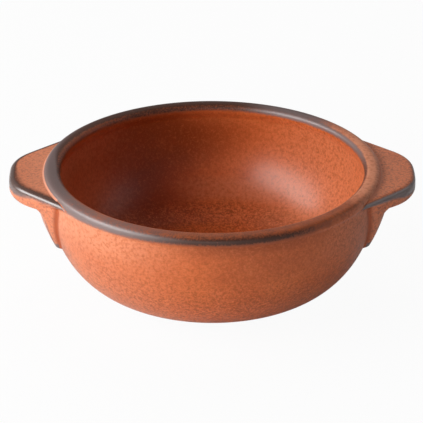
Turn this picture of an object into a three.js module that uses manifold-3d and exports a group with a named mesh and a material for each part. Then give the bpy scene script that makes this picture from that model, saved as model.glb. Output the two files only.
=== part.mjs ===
// Open stoneware pot: a turned bowl with a rounded rim bead and two press-moulded lug handles,
// each bedded on the wall in a layer of joining slip.
// Millimetres, +Z up. The origin is under the middle of the foot ring, and the lugs point along X.

import * as THREE from 'three';
import { mergeVertices } from 'three/addons/utils/BufferGeometryUtils.js';
import Module from 'manifold-3d';

const wasm = await Module();
wasm.setup();

// Bowl
const RIM_DIAMETER = 170;
const POT_HEIGHT = 66;
const WALL_THICKNESS = 6.4;
const FLOOR_THICKNESS = 7;
const FLOOR_FLAT_DIAMETER = 76;
// Shares of the wall's height and width over which it holds upright and holds level as it turns in
const WALL_UPRIGHT_SHARE = 0.62;
const WALL_LEVEL_SHARE = 0.573;

// Rim bead, proud of the wall outside and inside
const BEAD_HEIGHT = 4.6;
const BEAD_STEP_OUT = 0.7;
const LIP_HEIGHT = 3.6;
const LIP_STEP_IN = 1.2;
const RIM_OUTER_ROUND = 2.7;
const RIM_INNER_ROUND = 2.4;

// Foot ring, trimmed from the base
const FOOT_DIAMETER = 84;
const FOOT_HEIGHT = 3;
const FOOT_WIDTH = 7;
const FOOT_EDGE_ROUND = 1;
const BASE_RECESS = 2.2;

// Lug handles: a flat wing carried by a web that thins towards its lower end
const LUG_REACH = 17.4;
const LUG_DROP = 2.7;
const LUG_HEIGHT = 32.3;
const WING_THICKNESS = 7.8;
const WING_TIP_WIDTH = 33.4;
const WING_TIP_BULGE = 1;
const WING_ROOT_WIDTH = 92;
const WING_CORNER_RADIUS = 26;
const WING_TOP_ROUND = 2.6;
const WING_LOWER_ROUND = 2.2;
// At the wall the wing is only as thick as its edge, and below that its flanks draw in to the web's
const WING_EDGE_THICKNESS = 2.2;
const WING_ROOT_COVE = 3;
// How far the flanks bow out in plan, and how much further they do below the wing's edge
const FLANK_BOW = 0.2;
const WING_FLANK_BOW = 2.1;
const COVE_RADIUS = 6;
const WEB_TOP_DEPTH = 5.8;
const WEB_TOP_WIDTH = 70;
const WEB_END_DEPTH = 2.4;
const WEB_END_WIDTH = 50;
const WEB_END_ROUND = 0.8;
const WEB_CORNER_RADIUS = 4;
// Width that a flank of the web gains between its face and the wall, for each millimetre of depth
const WEB_FLANK_SPREAD = 0.82;
const ROOT_FILLET_RADIUS = 2.5;

// Joint between lug and wall
const SLIP_THICKNESS = 0.8;
const JOINT_CLEARANCE = 0.3;

// Facets
const TURN_SEGMENTS = 72;
const WALL_STEPS = 12;
const ROUND_STEPS = 4;
const FOOT_ROUND_STEPS = 2;
const LUG_ARC_STEPS = 5;
const FLANK_STEPS = 4;
const WEB_STEPS = 5;
const WING_STEPS = 5;
// Share of a wall face's length within which a height is found on it
const CURVE_TOLERANCE = 1e-6;

const { lerp, clamp } = THREE.MathUtils;
const QUARTER_TURN = Math.PI / 2;

// Points of a round, from one angle to another
function arc(centre, radius, fromAngle, toAngle, steps) {
  const clockwise = toAngle < fromAngle;
  const curve = new THREE.EllipseCurve(centre.x, centre.y, radius, radius, fromAngle, toAngle, clockwise);
  return curve.getPoints(steps);
}

// One face of the bowl's wall in section, from its base up: level at the base and upright at the top
function wallCurve(baseRadius, baseHeight, topRadius, topHeight) {
  const level = WALL_LEVEL_SHARE * (topRadius - baseRadius);
  const upright = WALL_UPRIGHT_SHARE * (topHeight - baseHeight);
  return new THREE.CubicBezierCurve(
    new THREE.Vector2(baseRadius, baseHeight),
    new THREE.Vector2(baseRadius + level, baseHeight),
    new THREE.Vector2(topRadius, topHeight - upright),
    new THREE.Vector2(topRadius, topHeight),
  );
}

const rimRadius = RIM_DIAMETER / 2;
const footRadius = FOOT_DIAMETER / 2;
const outerWallRadius = rimRadius - BEAD_STEP_OUT;
const innerWallRadius = outerWallRadius - WALL_THICKNESS;
const lipRadius = innerWallRadius - LIP_STEP_IN;
const floorTop = BASE_RECESS + FLOOR_THICKNESS;
const beadFoot = POT_HEIGHT - BEAD_HEIGHT;
const lipFoot = POT_HEIGHT - LIP_HEIGHT;

// The bead and the lip end in chamfers as high as their steps, and the wall's faces end below those
const outerWall = wallCurve(footRadius, FOOT_HEIGHT, outerWallRadius, beadFoot - BEAD_STEP_OUT);
const innerWall = wallCurve(FLOOR_FLAT_DIAMETER / 2, floorTop, innerWallRadius, lipFoot - LIP_STEP_IN);

// The bowl's outside, from the top of the foot ring to the start of the rim's round
function outsideProfile() {
  return [
    ...outerWall.getPoints(WALL_STEPS),
    new THREE.Vector2(rimRadius, beadFoot),
    new THREE.Vector2(rimRadius, POT_HEIGHT - RIM_OUTER_ROUND),
  ];
}

// The whole bowl, from the middle of its base round the foot, wall and rim to the middle of its floor
function bowlProfile() {
  const footInner = footRadius - FOOT_WIDTH;
  const footRoundInner = new THREE.Vector2(footInner + FOOT_EDGE_ROUND, FOOT_EDGE_ROUND);
  const footRoundOuter = new THREE.Vector2(footRadius - FOOT_EDGE_ROUND, FOOT_EDGE_ROUND);
  const rimRoundOuter = new THREE.Vector2(rimRadius - RIM_OUTER_ROUND, POT_HEIGHT - RIM_OUTER_ROUND);
  const rimRoundInner = new THREE.Vector2(lipRadius + RIM_INNER_ROUND, POT_HEIGHT - RIM_INNER_ROUND);
  return [
    new THREE.Vector2(0, BASE_RECESS),
    new THREE.Vector2(footInner, BASE_RECESS),
    ...arc(footRoundInner, FOOT_EDGE_ROUND, 2 * QUARTER_TURN, 3 * QUARTER_TURN, FOOT_ROUND_STEPS),
    ...arc(footRoundOuter, FOOT_EDGE_ROUND, 3 * QUARTER_TURN, 4 * QUARTER_TURN, FOOT_ROUND_STEPS),
    ...outsideProfile(),
    ...arc(rimRoundOuter, RIM_OUTER_ROUND, 0, QUARTER_TURN, ROUND_STEPS).slice(1),
    ...arc(rimRoundInner, RIM_INNER_ROUND, QUARTER_TURN, 2 * QUARTER_TURN, ROUND_STEPS),
    new THREE.Vector2(lipRadius, lipFoot),
    ...innerWall.getPoints(WALL_STEPS).reverse(),
    new THREE.Vector2(0, floorTop),
  ];
}

// A profile moved outwards by a distance, square to each of its runs
function offsetProfile(points, distance) {
  const normals = points.slice(1).map((point, i) => {
    const run = point.clone().sub(points[i]).normalize();
    return new THREE.Vector2(run.y, -run.x);
  });
  return points.map((point, i) => {
    const before = normals[Math.max(i - 1, 0)];
    const after = normals[Math.min(i, normals.length - 1)];
    const mitre = before.clone().add(after).normalize();
    return point.clone().addScaledVector(mitre, distance / mitre.dot(after));
  });
}

// A profile of radius and height, turned about Z
function turned(profile) {
  return new THREE.LatheGeometry(profile, TURN_SEGMENTS).rotateX(QUARTER_TURN);
}

// A geometry as a closed solid, with shared corners and no empty triangles
function solidOf(geometry) {
  const bare = geometry.clone();
  bare.deleteAttribute('normal');
  bare.deleteAttribute('uv');
  const merged = mergeVertices(bare);
  const corners = merged.index.array;
  const triangles = [];
  for (let i = 0; i < corners.length; i += 3) {
    const [a, b, c] = corners.slice(i, i + 3);
    if (a !== b && b !== c && c !== a) triangles.push(a, b, c);
  }
  const vertProperties = merged.attributes.position.array;
  const triVerts = new Uint32Array(triangles);
  return new wasm.Manifold(new wasm.Mesh({ numProp: 3, vertProperties, triVerts }));
}

// A solid as a geometry with flat facets
function geometryOf(solid) {
  const { vertProperties, triVerts } = solid.getMesh();
  const geometry = new THREE.BufferGeometry();
  geometry.setAttribute('position', new THREE.BufferAttribute(vertProperties, 3));
  geometry.setIndex(new THREE.BufferAttribute(triVerts, 1));
  geometry.computeVertexNormals();
  return geometry;
}

// The bowl's outside grown by a distance and filled in, to cut what is bedded on the wall
function grownBowl(distance) {
  const grown = offsetProfile(outsideProfile(), distance);
  const above = POT_HEIGHT + LUG_HEIGHT;
  return solidOf(turned([
    new THREE.Vector2(0, grown[0].y),
    ...grown,
    new THREE.Vector2(rimRadius + distance, above),
    new THREE.Vector2(0, above),
  ]));
}

// The wall's outer radius at a height
function wallRadiusAt(height) {
  let low = 0;
  let high = 1;
  while (high - low > CURVE_TOLERANCE) {
    const middle = (low + high) / 2;
    if (outerWall.getPoint(middle).y < height) low = middle;
    else high = middle;
  }
  return outerWall.getPoint(high).x;
}

const lugTop = POT_HEIGHT - LUG_DROP;
const wingUnderside = lugTop - WING_THICKNESS;
const lugEnd = lugTop - LUG_HEIGHT;

// Plan of the wing: how far its tip and corner stand from the pot's axis, and its half width at the wall
const wing = {
  reach: rimRadius + LUG_REACH,
  corner: new THREE.Vector2(rimRadius + LUG_REACH - WING_TIP_BULGE, WING_TIP_WIDTH / 2),
  rootHalf: WING_ROOT_WIDTH / 2,
};

// Plan of the web at a height: its face follows the wall, and it deepens and widens towards the wing
function webAt(height) {
  const share = clamp((height - lugEnd) / (wingUnderside - lugEnd), 0, 1);
  const depth = lerp(WEB_END_DEPTH, WEB_TOP_DEPTH, share);
  const rootHalf = lerp(WEB_END_WIDTH, WEB_TOP_WIDTH, share) / 2;
  const cornerHalf = rootHalf - WEB_FLANK_SPREAD * depth;
  const reach = wallRadiusAt(height) + depth;
  const corner = new THREE.Vector2(Math.sqrt(reach ** 2 - cornerHalf ** 2), cornerHalf);
  return { reach, corner, rootHalf };
}

// How far the wing's root has spread from the web's at a height: 0 on the web and 1 at the wing's edge
function rootSpreadAt(height) {
  const edgeFoot = lugTop - WING_EDGE_THICKNESS;
  const share = clamp((height - edgeFoot) / WING_ROOT_COVE + 1, 0, 1);
  return 1 - Math.cos(share * QUARTER_TURN);
}

// The point at given distances from two centres, to the left of the way from the first to the second
function atDistances(first, firstDistance, second, secondDistance) {
  const way = second.clone().sub(first);
  const span = way.length();
  const along = (firstDistance ** 2 - secondDistance ** 2 + span ** 2) / (2 * span);
  const aside = Math.sqrt(firstDistance ** 2 - along ** 2);
  way.divideScalar(span);
  return first.clone()
    .addScaledVector(way, along)
    .addScaledVector(new THREE.Vector2(-way.y, way.x), aside);
}

// Level section of the lug on +X, as a closed outline of rounds that runs into the wall.
// flare is 0 on the web and 1 on the wing, and inset draws the outline in to round an edge.
function lugSection({ height, flare, inset }) {
  const axis = new THREE.Vector2();
  const wallRadius = wallRadiusAt(height);
  const web = webAt(height);
  const spread = rootSpreadAt(height);
  const reach = lerp(web.reach, wing.reach, flare);
  const corner = web.corner.clone().lerp(wing.corner, flare);
  const rootHalf = lerp(web.rootHalf, wing.rootHalf, spread);
  const root = new THREE.Vector2(Math.sqrt(wallRadius ** 2 - rootHalf ** 2), rootHalf);

  // Front face: a round through the tip and both corners
  const bulge = reach - corner.x;
  const frontRadius = (corner.y ** 2 + bulge ** 2) / (2 * bulge);
  const frontCentre = new THREE.Vector2(reach - frontRadius, 0);

  // Flank: a shallow round from corner to root
  const chord = root.clone().sub(corner);
  const outward = new THREE.Vector2(chord.y, -chord.x).normalize();
  const bow = FLANK_BOW + WING_FLANK_BOW * Math.max(flare - spread, 0);
  const flankRadius = (chord.lengthSq() / 4 + bow ** 2) / (2 * bow);
  const flankMiddle = corner.clone().lerp(root, 0.5);
  const flankCentre = flankMiddle.addScaledVector(outward, bow - flankRadius);

  // Corner: rounded as far as front and flank have room for it
  const turn = outward.angle() - corner.clone().sub(frontCentre).angle();
  const room = Math.min(corner.y, chord.length() / 2) / Math.tan(turn / 2);
  const cornerRadius = Math.min(lerp(WEB_CORNER_RADIUS, WING_CORNER_RADIUS, flare), room);
  const fromFront = frontRadius - cornerRadius;
  const fromFlank = flankRadius - cornerRadius;
  const cornerCentre = atDistances(frontCentre, fromFront, flankCentre, fromFlank);
  const frontAngle = cornerCentre.clone().sub(frontCentre).angle();
  const flankAngle = cornerCentre.clone().sub(flankCentre).angle();

  // Root: a hollow fillet between flank and wall
  const filletRadius = ROOT_FILLET_RADIUS;
  const filletReach = flankRadius - inset + filletRadius;
  const filletCentre = atDistances(axis, wallRadius + filletRadius, flankCentre, filletReach);
  const rootAngle = filletCentre.clone().sub(flankCentre).angle();
  const wallAngle = filletCentre.angle();
  const buried = filletCentre.clone().setLength(wallRadius - WALL_THICKNESS);

  const half = [
    ...arc(frontCentre, frontRadius - inset, 0, frontAngle, LUG_ARC_STEPS).slice(1),
    ...arc(cornerCentre, cornerRadius - inset, frontAngle, flankAngle, LUG_ARC_STEPS).slice(1),
    ...arc(flankCentre, flankRadius - inset, flankAngle, rootAngle, FLANK_STEPS).slice(1),
    ...arc(filletCentre, filletRadius, rootAngle + Math.PI, wallAngle + Math.PI, LUG_ARC_STEPS).slice(1),
    buried,
  ];
  const mirrored = half.map((point) => new THREE.Vector2(point.x, -point.y)).reverse();
  return [new THREE.Vector2(reach - inset, 0), ...half, ...mirrored];
}

// Levels of the lug from its lower end to its top
function lugLevels() {
  const overhang = wing.reach - webAt(wingUnderside).reach;
  const coveRun = Math.min(COVE_RADIUS, overhang / 2);
  const lowerRun = Math.min(WING_LOWER_ROUND, overhang / 2);
  const angles = Array.from({ length: ROUND_STEPS + 1 }, (_, i) => (i / ROUND_STEPS) * QUARTER_TURN);
  const levels = [];
  for (const angle of angles) {
    const height = lugEnd + WEB_END_ROUND * (1 - Math.cos(angle));
    levels.push({ height, flare: 0, inset: WEB_END_ROUND * (1 - Math.sin(angle)) });
  }
  const webTop = wingUnderside - COVE_RADIUS;
  for (let i = 1; i < WEB_STEPS; i += 1) {
    levels.push({ height: lerp(lugEnd + WEB_END_ROUND, webTop, i / WEB_STEPS), flare: 0, inset: 0 });
  }
  for (const angle of angles) {
    const flare = (coveRun * (1 - Math.cos(angle))) / overhang;
    levels.push({ height: webTop + COVE_RADIUS * Math.sin(angle), flare, inset: 0 });
  }
  for (const angle of angles) {
    const flare = 1 - (lowerRun * (1 - Math.sin(angle))) / overhang;
    levels.push({ height: wingUnderside + WING_LOWER_ROUND * (1 - Math.cos(angle)), flare, inset: 0 });
  }
  const wingFoot = wingUnderside + WING_LOWER_ROUND;
  const wingHead = lugTop - WING_TOP_ROUND;
  for (let i = 1; i < WING_STEPS; i += 1) {
    levels.push({ height: lerp(wingFoot, wingHead, i / WING_STEPS), flare: 1, inset: 0 });
  }
  for (const angle of angles) {
    const height = lugTop - WING_TOP_ROUND * (1 - Math.sin(angle));
    levels.push({ height, flare: 1, inset: WING_TOP_ROUND * (1 - Math.cos(angle)) });
  }
  return levels;
}

// A skin through outlines with the same number of points, from the lowest up, closed at both ends
function loft(outlines, heights) {
  const count = outlines[0].length;
  const positions = outlines.flatMap((outline, level) => (
    outline.flatMap(({ x, y }) => [x, y, heights[level]])
  ));
  const index = [];
  for (let level = 0; level + 1 < outlines.length; level += 1) {
    for (let i = 0; i < count; i += 1) {
      const a = level * count + i;
      const b = level * count + ((i + 1) % count);
      index.push(a, b, b + count, a, b + count, a + count);
    }
  }
  const top = (outlines.length - 1) * count;
  const lowerCap = THREE.ShapeUtils.triangulateShape(outlines[0], []);
  const upperCap = THREE.ShapeUtils.triangulateShape(outlines.at(-1), []);
  for (const [a, b, c] of lowerCap) index.push(a, c, b);
  for (const [a, b, c] of upperCap) index.push(top + a, top + b, top + c);
  const geometry = new THREE.BufferGeometry();
  geometry.setAttribute('position', new THREE.Float32BufferAttribute(positions, 3));
  geometry.setIndex(index);
  return geometry;
}

const levels = lugLevels();
const lugBlank = solidOf(loft(levels.map(lugSection), levels.map(({ height }) => height)));
const slipFace = JOINT_CLEARANCE + SLIP_THICKNESS;
const slipBed = lugBlank.intersect(grownBowl(slipFace)).subtract(grownBowl(JOINT_CLEARANCE));
const lug = lugBlank.subtract(grownBowl(slipFace + JOINT_CLEARANCE));

const glaze = { roughness: 0.55, metalness: 0 };
const bowlGlaze = new THREE.MeshStandardMaterial({ color: 0xb8643a, ...glaze });
const lugGlaze = new THREE.MeshStandardMaterial({ color: 0xb5683f, ...glaze });
const slipClay = new THREE.MeshStandardMaterial({ color: 0xa05a38, roughness: 0.75, metalness: 0 });

const pot = new THREE.Group();

function add(name, geometry, material, turn) {
  const mesh = new THREE.Mesh(geometry, material);
  mesh.name = name;
  mesh.rotation.z = turn;
  pot.add(mesh);
}

add('bowl_body', turned(bowlProfile()), bowlGlaze, 0);
for (const [side, turn] of [['right', 0], ['left', Math.PI]]) {
  add(`handle_${side}`, geometryOf(lug), lugGlaze.clone(), turn);
  add(`luting_slip_${side}`, geometryOf(slipBed), slipClay.clone(), turn);
}

export default pot;
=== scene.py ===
# Looks of an open clay pot with two lug handles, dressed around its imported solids.
# The pot's lengths are written in millimetres and turned into metres where its meshes are made; those of
# the lights, the floor and the camera are in metres.
import cmath
import math
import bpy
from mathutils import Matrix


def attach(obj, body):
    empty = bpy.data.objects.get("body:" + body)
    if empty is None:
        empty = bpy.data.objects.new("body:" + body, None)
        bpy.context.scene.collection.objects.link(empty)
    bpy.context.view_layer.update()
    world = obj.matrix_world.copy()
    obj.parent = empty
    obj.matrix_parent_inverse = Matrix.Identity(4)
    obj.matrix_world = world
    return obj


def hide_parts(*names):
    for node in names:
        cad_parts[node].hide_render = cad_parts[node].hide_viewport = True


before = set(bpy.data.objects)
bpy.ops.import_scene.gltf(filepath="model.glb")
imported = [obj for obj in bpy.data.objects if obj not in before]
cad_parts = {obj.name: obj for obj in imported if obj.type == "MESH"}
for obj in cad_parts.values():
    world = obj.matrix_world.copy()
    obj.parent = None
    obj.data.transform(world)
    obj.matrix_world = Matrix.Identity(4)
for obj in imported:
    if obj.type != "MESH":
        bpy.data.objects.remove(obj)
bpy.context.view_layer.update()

from types import SimpleNamespace

import bmesh
import bpy
import numpy as np
from mathutils import Euler, Matrix, Vector

MM = 0.001
QUARTER_TURN = math.pi / 2
HALF_TURN = math.pi
WHOLE_TURN = 2 * math.pi

# Bowl, the same sizes as the solids
RIM_RADIUS = 85.0
POT_HEIGHT = 66.0
WALL_THICKNESS = 6.4
FLOOR_THICKNESS = 7.0
FLOOR_RADIUS = 38.0
WALL_LEVEL_SHARE = 0.573
WALL_UPRIGHT_SHARE = 0.62
BEAD_HEIGHT = 4.6
BEAD_STEP_OUT = 0.7
LIP_HEIGHT = 3.6
LIP_STEP_IN = 1.2
FOOT_RADIUS = 42.0
FOOT_HEIGHT = 3.0
FOOT_WIDTH = 7.0
FOOT_ROUND = 1.0
BASE_RECESS = 2.2

WALL_RADIUS = RIM_RADIUS - BEAD_STEP_OUT
INNER_RADIUS = WALL_RADIUS - WALL_THICKNESS
LIP_RADIUS = INNER_RADIUS - LIP_STEP_IN
FLOOR_TOP = BASE_RECESS + FLOOR_THICKNESS
BEAD_FOOT = POT_HEIGHT - BEAD_HEIGHT
LIP_FOOT = POT_HEIGHT - LIP_HEIGHT
WALL_TOP = BEAD_FOOT - BEAD_STEP_OUT
INNER_WALL_TOP = LIP_FOOT - LIP_STEP_IN
FOOT_INNER = FOOT_RADIUS - FOOT_WIDTH

# Softer edges than the solids have: the rim's crown as power curves, and fillets at foot, bead and lip
RIM_POWER = 2.6
RIM_FALL = 3.1
LIP_POWER = 3.2
LIP_FALL = 3.2
BASE_FILLET = 0.8
BEAD_BLEND = 0.9
LIP_BLEND = 3.4
RIM_FOOT = POT_HEIGHT - RIM_FALL
LIP_ROUND_FOOT = POT_HEIGHT - LIP_FALL

# Lugs, the same sizes as the solids
LUG_REACH = 17.4
LUG_DROP = 2.7
LUG_HEIGHT = 32.3
WING_THICKNESS = 7.8
WING_TIP_HALF = 16.7
WING_TIP_BULGE = 1.0
WING_ROOT_HALF = 46.0
WING_CORNER_RADIUS = 26.0
WING_TOP_ROUND = 2.6
WING_LOWER_ROUND = 2.2
WING_EDGE_THICKNESS = 2.2
WING_ROOT_COVE = 3.0
FLANK_BOW = 0.2
WING_FLANK_BOW = 2.1
COVE_RADIUS = 6.0
WEB_TOP_DEPTH = 5.8
WEB_TOP_HALF = 35.0
WEB_END_DEPTH = 2.4
WEB_END_HALF = 25.0
WEB_END_ROUND = 0.8
WEB_CORNER_RADIUS = 4.0
WEB_FLANK_SPREAD = 0.82
ROOT_FILLET = 2.5

LUG_TOP = POT_HEIGHT - LUG_DROP
LUG_END = LUG_TOP - LUG_HEIGHT
WING_UNDERSIDE = LUG_TOP - WING_THICKNESS
WING_REACH = RIM_RADIUS + LUG_REACH
WING_CORNER = complex(WING_REACH - WING_TIP_BULGE, WING_TIP_HALF)

# Joint between lug and wall: how far the slip shows from the wall on the web and at the top, where it
# rises a little onto the bead
SLIP_DEPTH = 1.0
SLIP_TOP_DEPTH = 0.25
SLIP_OVERLAP = 0.3
SLIP_BURIED = 0.4
SLIP_RISE = 1.1
SLIP_CAP_LAP = 0.6
SLIP_CAP_LIFT = 0.03

# Mesh detail, and the room left between the runs of the bowl's section
TURN_STEPS = 480
WALL_STEPS = 110
RIM_STEPS = 48
BEAD_STEPS = 24
FLOOR_STEPS = 30
BASE_STEPS = 16
FOOT_STEPS = 6
FILLET_STEPS = 5
FRONT_STEPS = 20
CORNER_STEPS = 20
FLANK_STEPS = 20
TRACE_STEPS = 60
SLIP_STEPS = 8
SLIP_CAP_STEPS = 8
SLIP_SPAN_STEPS = 40
LUG_ROUND_STEPS = 10
WEB_STEPS = 20
WING_STEPS = 8
CAP_SHARES = (0.03, 0.07, 0.12, 0.18, 0.25, 0.33, 0.42, 0.52, 0.63, 0.75, 0.88, 1.0)
LOW_CAP_SHARES = CAP_SHARES[2::3]
BASE_ROOM = 0.4
FOOT_ROOM = 0.3
RIM_ROOM = 0.2
WELD_DISTANCE = 1e-7
LEAST_SQUARED_LENGTH = 1e-12
BOWL_SHARP_DEGREES = 75
LUG_SHARP_DEGREES = 60

# What each point of a mesh tells the glaze: dark edge, grey ash in it that is partly a painted sheen, gloss
# on it, tan that is partly a painted highlight and sheen, deep painted shade, pooled glaze with painted
# crease shade, pale glaze with painted highlight, bare clay and speckle
MASKS = ("edge", "ash_and_sheen", "gloss", "tan", "deep", "pool_and_crease_shade", "pale_and_highlight", "bare", "speckle")


def lerp(a, b, share):
    return a + (b - a) * share


def smooth(low, high, value):
    """Smooth step from 0 at low to 1 at high; low may be above high."""
    share = np.clip((np.asarray(value, float) - low) / (high - low), 0, 1)
    return share * share * (3 - 2 * share)


def mark(at, strength=1.0, **fades):
    """A glaze mark of a given strength, faded by places: each pair goes from none of it to all of it.

    A place that fades the mark a second time, at its other end, has _end after its name."""
    for place, (none, full) in fades.items():
        strength = strength * smooth(none, full, getattr(at, place.removesuffix("_end")))
    return strength


def arc(centre, radius, start, end, steps):
    """Points of a round as complex numbers, both ends included."""
    return centre + radius * np.exp(1j * np.linspace(start, end, steps + 1))


def wall_curve(base, top):
    """One face of the wall in section, from its level base to its upright top."""
    level = base + WALL_LEVEL_SHARE * (top.real - base.real)
    upright = top - 1j * WALL_UPRIGHT_SHARE * (top.imag - base.imag)
    t = np.linspace(0, 1, WALL_STEPS + 1)
    s = 1 - t
    return s**3 * base + 3 * s**2 * t * level + 3 * s * t**2 * upright + t**3 * top


outer_wall = wall_curve(complex(FOOT_RADIUS, FOOT_HEIGHT), complex(WALL_RADIUS, WALL_TOP))
inner_wall = wall_curve(complex(FLOOR_RADIUS, FLOOR_TOP), complex(INNER_RADIUS, INNER_WALL_TOP))


def wall_radius(height):
    """The wall's outer radius, without the bead."""
    return np.interp(height, outer_wall.imag, outer_wall.real)


def outside_radius(height):
    """The bowl's outer radius, bead included."""
    bead = smooth(WALL_TOP - BEAD_BLEND, BEAD_FOOT + BEAD_BLEND, height)
    return wall_radius(height) + BEAD_STEP_OUT * bead


def inside_radius(height):
    """The bowl's inner radius, lip included."""
    wall = np.interp(height, inner_wall.imag, inner_wall.real)
    return wall - LIP_STEP_IN * smooth(INNER_WALL_TOP - LIP_BLEND, LIP_ROUND_FOOT, height)


def nearest(points, line):
    """Distance from each complex point to a line of complex points."""
    start, run = line[:-1], np.diff(line)
    length = np.maximum(np.abs(run) ** 2, LEAST_SQUARED_LENGTH)
    offset = points[:, None] - start
    share = np.clip((offset * run.conjugate()).real / length, 0, 1)
    return np.abs(offset - share * run).min(axis=1)


def new_mesh(name, points, faces, masks, sharp_degrees):
    """A mesh object from points in millimetres, with one value per point for each mask."""
    mesh = bpy.data.meshes.new(name)
    mesh.from_pydata((np.asarray(points) * MM).tolist(), [], faces)
    for mask in MASKS:
        layer = mesh.attributes.new(mask, "FLOAT", "POINT")
        values = masks.get(mask, np.zeros(len(points)))
        layer.data.foreach_set("value", np.asarray(values, np.float32))
    work = bmesh.new()
    work.from_mesh(mesh)
    bmesh.ops.remove_doubles(work, verts=work.verts, dist=WELD_DISTANCE)
    bmesh.ops.dissolve_degenerate(work, edges=work.edges, dist=WELD_DISTANCE)
    bmesh.ops.recalc_face_normals(work, faces=work.faces)
    work.to_mesh(mesh)
    work.free()
    mesh.polygons.foreach_set("use_smooth", [True] * len(mesh.polygons))
    mesh.set_sharp_from_angle(angle=math.radians(sharp_degrees))
    made = bpy.data.objects.new(name, mesh)
    bpy.context.scene.collection.objects.link(made)
    return made


# Bowl

def rim_curve():
    """The rim's crown from its outer to its inner face."""
    middle = (RIM_RADIUS + LIP_RADIUS) / 2
    half = (RIM_RADIUS - LIP_RADIUS) / 2
    angles = np.linspace(0, QUARTER_TURN, RIM_STEPS // 2 + 1)
    halves = []
    for side, power, fall in ((1, RIM_POWER, RIM_FALL), (-1, LIP_POWER, LIP_FALL)):
        across = np.abs(np.cos(angles)) ** (2 / power)
        up = np.abs(np.sin(angles)) ** (2 / power)
        halves.append(middle + side * half * across + 1j * (POT_HEIGHT - fall + fall * up))
    return np.concatenate([halves[0], halves[1][-2::-1]])


def bowl_section():
    """The bowl's section from the middle of its base round foot, wall and rim to that of its floor."""
    bead = np.linspace(WALL_TOP - 2 * BEAD_BLEND, RIM_FOOT, BEAD_STEPS)[:-1]
    lip = np.linspace(LIP_ROUND_FOOT, INNER_WALL_TOP - LIP_BLEND - BEAD_BLEND, BEAD_STEPS)[1:]
    foot_inner = complex(FOOT_INNER + FOOT_ROUND, FOOT_ROUND)
    foot_outer = complex(FOOT_RADIUS - FOOT_ROUND, FOOT_ROUND)
    base_centre = complex(FOOT_INNER - BASE_FILLET, BASE_RECESS - BASE_FILLET)
    wall_centre = complex(FOOT_RADIUS + BASE_FILLET, FOOT_HEIGHT - BASE_FILLET)
    past_foot = outer_wall.real > FOOT_RADIUS + BASE_FILLET + FOOT_ROOM
    below_bead = outer_wall.imag < bead[0] - RIM_ROOM
    below_lip = inner_wall.imag < lip[-1] - RIM_ROOM
    runs = [
        np.linspace(0, FOOT_INNER - BASE_FILLET - BASE_ROOM, BASE_STEPS) + 1j * BASE_RECESS,
        arc(base_centre, BASE_FILLET, QUARTER_TURN, 0, FILLET_STEPS),
        arc(foot_inner, FOOT_ROUND, HALF_TURN, 3 * QUARTER_TURN, FOOT_STEPS),
        np.linspace(foot_inner.real, foot_outer.real, FOOT_STEPS)[1:-1] + 0j,
        arc(foot_outer, FOOT_ROUND, 3 * QUARTER_TURN, WHOLE_TURN, FOOT_STEPS),
        arc(wall_centre, BASE_FILLET, HALF_TURN, QUARTER_TURN, FILLET_STEPS),
        outer_wall[past_foot & below_bead],
        outside_radius(bead) + 1j * bead,
        rim_curve(),
        inside_radius(lip) + 1j * lip,
        inner_wall[below_lip][::-1],
        np.linspace(FLOOR_RADIUS, 0, FLOOR_STEPS)[1:] + 1j * FLOOR_TOP,
    ]
    return np.concatenate(runs)


# Stretches of the bowl that several marks share; where the worn stretch at the right starts, and how far it
# takes to be full, are pairs that go from the back to the front
SKIN_DEPTH = 0.5
RIM_MIDDLE = 0.5
FRONT = (0.1, 0.8)
FRONT_RIGHT = (0.15, 0.6)
FAR_LEFT = (-0.45, -0.85)
OFF_AXIS = (8, 52)
WORN_START = (0.55, 0.85)
WORN_RUN = (0.4, 0.14)

# How dark the rim's glaze is on its crown, outer face and lip; a pair goes from the lip's side outwards
CROWN_DARK = 0.97
CROWN_FRONT_DARK = (0.46, 0.70)
CROWN_FRONT_RIGHT_DARK = 0.5
CROWN_WORN_DARK = (0.08, 0.2)
FACE_DARK = 1.0
FACE_RIGHT_DARK = 0.18
LIP_DARK = 0.8
LIP_FRONT_DARK = 0.22
LIP_FRONT_RIGHT_DARK = 0.55
LIP_BACK_LEFT_DARK = 0.58
LIP_WORN_DARK = 0.8

# How far the dark glaze runs below the level of the lugs' tops, and fades above it
FACE_RUN = 3.4
FACE_LEFT_RUN = 4.0
FACE_FAR_LEFT_RUN = 6.0
FACE_FADE = 0.3
LIP_RUN = 1.7
LIP_LEFT_RUN = 0.4
LIP_FADE = 0.8

# Where lip, crown and outer face part: shares of the way over the rim, and falls from its top
LIP_END = 0.08
CROWN_START = 0.26
CROWN_BACK_LEFT_START = 0.36
CROWN_END_FALL = 0.4
FACE_START_FALL = 2.0

# Grey ash on the dark glaze, partly a painted sheen where the key light catches it, and gloss on it; a pair
# goes from the front left to the back left. At the back right the ash is a painted highlight, on the worn
# outer face a painted sheen, and low on the far left outside a painted shade and sheen where the wall turns
# away from the light
SHINE_START = (0.1, 0.4)
SHINE_FULL = (0.3, 0.75)
LEFT_ASH_AND_SHEEN = 0.7
WORN_FACE_SHEEN = 0.6
BACK_RIGHT_HIGHLIGHT = 0.8
LEFT_GLOSS = 0.8
FRONT_GLOSS = 1.0
FLANK_SHADE_DARK = 0.38
FLANK_SHADE_BY_LUG = 0.5


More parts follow.
